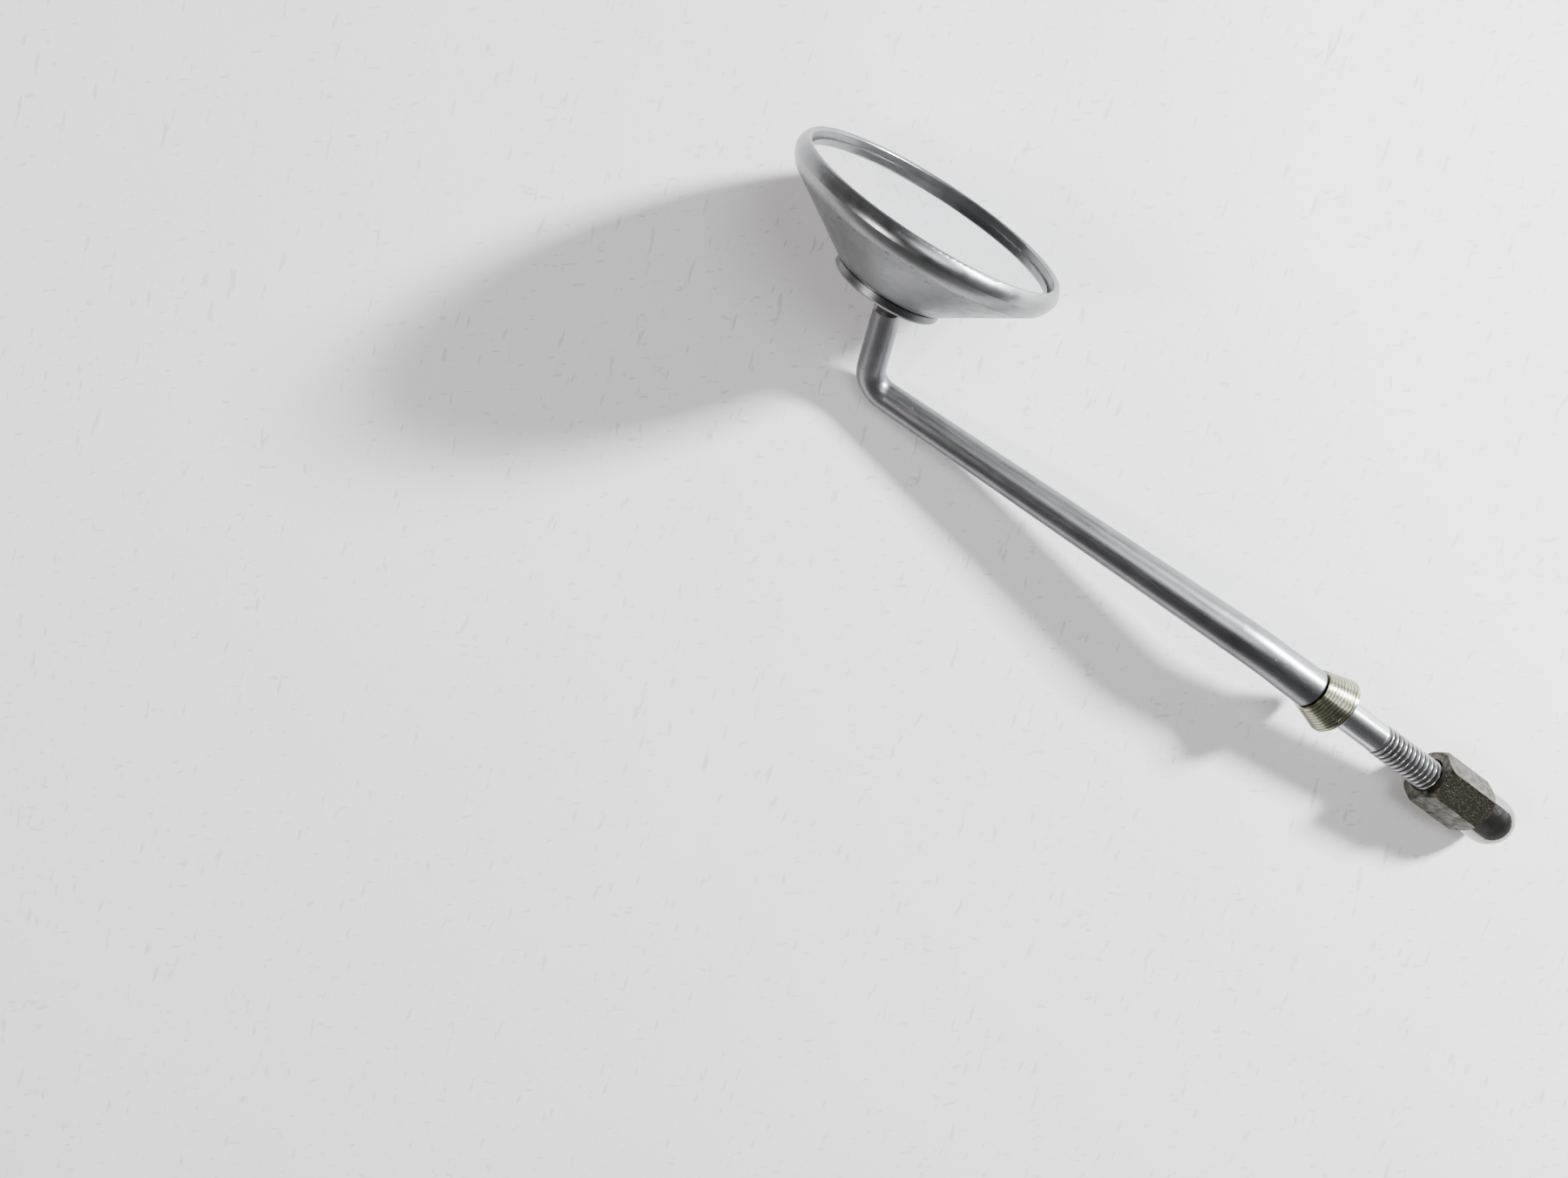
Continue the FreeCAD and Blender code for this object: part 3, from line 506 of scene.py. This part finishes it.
def dress_inside():
    """Finishes for the ball joint and the parts behind the glass."""
    put_on(plain_metal(
        "ball_polish",
        light=(0.80, 0.80, 0.80), dark=(0.66, 0.66, 0.66),
        smooth=0.08, dull=0.2, grain=0.3 * MM,
    ), "ball_stud")
    put_on(plain_metal(
        "oiled_steel",
        light=(0.42, 0.42, 0.42), dark=(0.30, 0.29, 0.27),
        smooth=0.2, dull=0.4, grain=0.4 * MM,
    ), "front_cup", "rear_cup")
    put_on(plain_metal(
        "zinc_plate",
        light=(0.60, 0.60, 0.58), dark=(0.46, 0.46, 0.43),
        smooth=0.2, dull=0.38, grain=0.4 * MM,
    ), "clamp_plate")
    put_on(plain_metal(
        "zinc_screw",
        light=(0.66, 0.66, 0.64), dark=(0.50, 0.50, 0.48),
        smooth=0.16, dull=0.34, grain=0.3 * MM,
    ), "clamp_screws")
    put_on(plain_metal(
        "spring_steel",
        light=(0.22, 0.22, 0.23), dark=(0.13, 0.13, 0.14),
        smooth=0.22, dull=0.4, grain=0.3 * MM,
    ), "disc_spring", "lock_washers")
    put_on(moulded(
        "nylon",
        light=(0.74, 0.73, 0.68), dark=(0.66, 0.64, 0.57),
        smooth=0.3, dull=0.45, grain=0.3 * MM, depth=0.01 * MM,
    ), "ball_liner", "front_seat")
    put_on(moulded(
        "carrier",
        light=(0.03, 0.03, 0.03), dark=(0.05, 0.05, 0.05),
        smooth=0.4, dull=0.6, grain=0.4 * MM, depth=0.02 * MM,
    ), "glass_carrier")
    put_on(moulded(
        "foam",
        light=(0.07, 0.07, 0.07), dark=(0.11, 0.11, 0.11),
        smooth=0.85, dull=0.95, grain=0.5 * MM, depth=0.15 * MM,
    ), "foam_pad")


def stud_profile(distance, turn):
    """Stud radius at a distance from the arm along its axis and a turn about it."""
    if distance < 0:
        return STUD_ROOT_RADIUS
    if distance < SEAT_END:
        return SEAT_RADIUS
    if distance < SHANK_END:
        return SHANK_RADIUS
    phase = ((distance - SHANK_END) / THREAD_PITCH - turn) % 1
    tooth = abs(2 * phase - 1)
    crest = min(max((tooth - ROOT_FLAT) / (1 - ROOT_FLAT - CREST_FLAT), 0), 1)
    rounded = crest * crest * (3 - 2 * crest)
    start = min((distance - SHANK_END) / THREAD_RUNOUT, 1)
    crown = SHANK_RADIUS + (THREAD_RADIUS - SHANK_RADIUS) * start
    depth = THREAD_DEPTH * start
    past_bevel = max(distance - (STUD_END - STUD_END_BEVEL), 0)
    return min(crown - depth * (1 - rounded), THREAD_RADIUS - past_bevel)


def stud_stations():
    """Distances along the stud at which the mesh has a ring, close together at its steps."""
    tiny = 0.02 * MM
    near = 4 * tiny
    steps = [-STUD_ROOT_DEPTH, -tiny]
    for start, end in ((0, SEAT_END), (SEAT_END, SHANK_END)):
        steps += [start + tiny, start + near, end - near, end - tiny]
    length = STUD_END - SHANK_END
    count = int(length / THREAD_PITCH * RINGS_PER_PITCH)
    steps += [SHANK_END + length * step / count for step in range(count + 1)]
    return steps


def finish_piece(name, mesh, body, material):
    """Object from a bmesh, smooth shaded, riding on a body."""
    bmesh.ops.recalc_face_normals(mesh, faces=mesh.faces)
    data = bpy.data.meshes.new(name)
    mesh.to_mesh(data)
    mesh.free()
    for face in data.polygons:
        face.use_smooth = True
    data.materials.append(material)
    piece = bpy.data.objects.new(name, data)
    bpy.context.scene.collection.objects.link(piece)
    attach(piece, body)
    return piece


def make_stud():
    """Stud with its rolled helical thread, in place of the plain CAD stud."""
    mesh = bmesh.new()
    across = STUD_AXIS.orthogonal().normalized()
    along = STUD_AXIS.cross(across)
    rings = []
    for distance in stud_stations():
        ring = []
        for step in range(STUD_SEGMENTS):
            turn = step / STUD_SEGMENTS
            angle = turn * math.tau
            side = across * math.cos(angle) + along * math.sin(angle)
            place = STUD_ORIGIN + STUD_AXIS * distance + side * stud_profile(distance, turn)
            ring.append(mesh.verts.new(place))
        rings.append(ring)
    for first, second in zip(rings, rings[1:]):
        for step in range(STUD_SEGMENTS):
            following = (step + 1) % STUD_SEGMENTS
            mesh.faces.new((first[step], first[following], second[following], second[step]))
    mesh.faces.new(list(reversed(rings[0])))
    mesh.faces.new(rings[-1])
    return finish_piece("stud_with_thread", mesh, "arm", stud_finish())


def make_floor():
    """Table top that the mirror's lowest points touch."""
    mesh = bmesh.new()
    bmesh.ops.create_grid(mesh, x_segments=FLOOR_SEGMENTS, y_segments=FLOOR_SEGMENTS, size=FLOOR_REACH)
    data = bpy.data.meshes.new("table_top")
    mesh.to_mesh(data)
    mesh.free()
    data.materials.append(table_finish())
    floor = bpy.data.objects.new("table_top", data)
    floor.location = (0, 0, cad_box[0][2])
    bpy.context.scene.collection.objects.link(floor)


def soft_light(name, bearing, elevation, distance, size, power, colour):
    """Square area light at a bearing and elevation in degrees from the aim point, facing it."""
    light = bpy.data.lights.new(name, "AREA")
    light.size = size
    light.energy = power
    light.color = colour
    item = bpy.data.objects.new(name, light)
    turn = math.radians(bearing)
    rise = math.radians(elevation)
    away = Vector((math.cos(turn) * math.cos(rise), math.sin(turn) * math.cos(rise), math.sin(rise)))
    item.location = LIGHT_AIM + away * distance
    item.rotation_euler = away.to_track_quat("Z", "Y").to_euler()
    bpy.context.scene.collection.objects.link(item)


def make_lights():
    """A strong light low on the far side, a weak one opposite and a broad one above."""
    soft_light(
        "window", bearing=54.8, elevation=27, distance=0.9, size=0.12, power=40, colour=(0.97, 0.99, 1.0)
    )
    soft_light(
        "lamp", bearing=222.6, elevation=46, distance=0.9, size=0.14, power=4, colour=(1.0, 0.95, 0.93)
    )
    soft_light(
        "ceiling", bearing=54.8, elevation=72, distance=1.1, size=0.45, power=4.5, colour=(0.96, 0.98, 1.0)
    )


def make_room():
    """Dim room, lighter below than above."""
    world = bpy.data.worlds.new("room")
    world.use_nodes = True
    tree = world.node_tree
    direction = tree.nodes.new("ShaderNodeTexCoord")
    split = tree.nodes.new("ShaderNodeSeparateXYZ")
    ramp = tree.nodes.new("ShaderNodeValToRGB")
    background = tree.nodes["Background"]
    tree.links.new(direction.outputs["Generated"], split.inputs["Vector"])
    tree.links.new(split.outputs["Z"], ramp.inputs["Fac"])
    tree.links.new(ramp.outputs["Color"], background.inputs["Color"])
    low, high = ramp.color_ramp.elements
    low.position = 0.05
    low.color = (0.80, 0.80, 0.80, 1)
    high.position = 0.95
    high.color = (0.10, 0.10, 0.11, 1)
    background.inputs["Strength"].default_value = ROOM_STRENGTH
    bpy.context.scene.world = world


def make_camera():
    """Camera almost straight above, as the mirror was seen."""
    camera_data = bpy.data.cameras.new("camera")
    camera_data.sensor_width = CAMERA_SENSOR
    camera_data.lens = CAMERA_LENS
    camera_data.clip_start = CAMERA_NEAREST
    camera = bpy.data.objects.new("camera", camera_data)
    forward = CAMERA_FORWARD.normalized()
    right = forward.cross(CAMERA_UP).normalized()
    up = right.cross(forward)
    turn = Matrix((right, up, -forward)).transposed()
    camera.matrix_world = Matrix.Translation(CAMERA_PLACE) @ turn.to_4x4()
    bpy.context.scene.collection.objects.link(camera)
    bpy.context.scene.camera = camera


dress_outside()
dress_inside()
stud = make_stud()
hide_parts("mount_stud")
make_floor()
make_lights()
make_room()
make_camera()
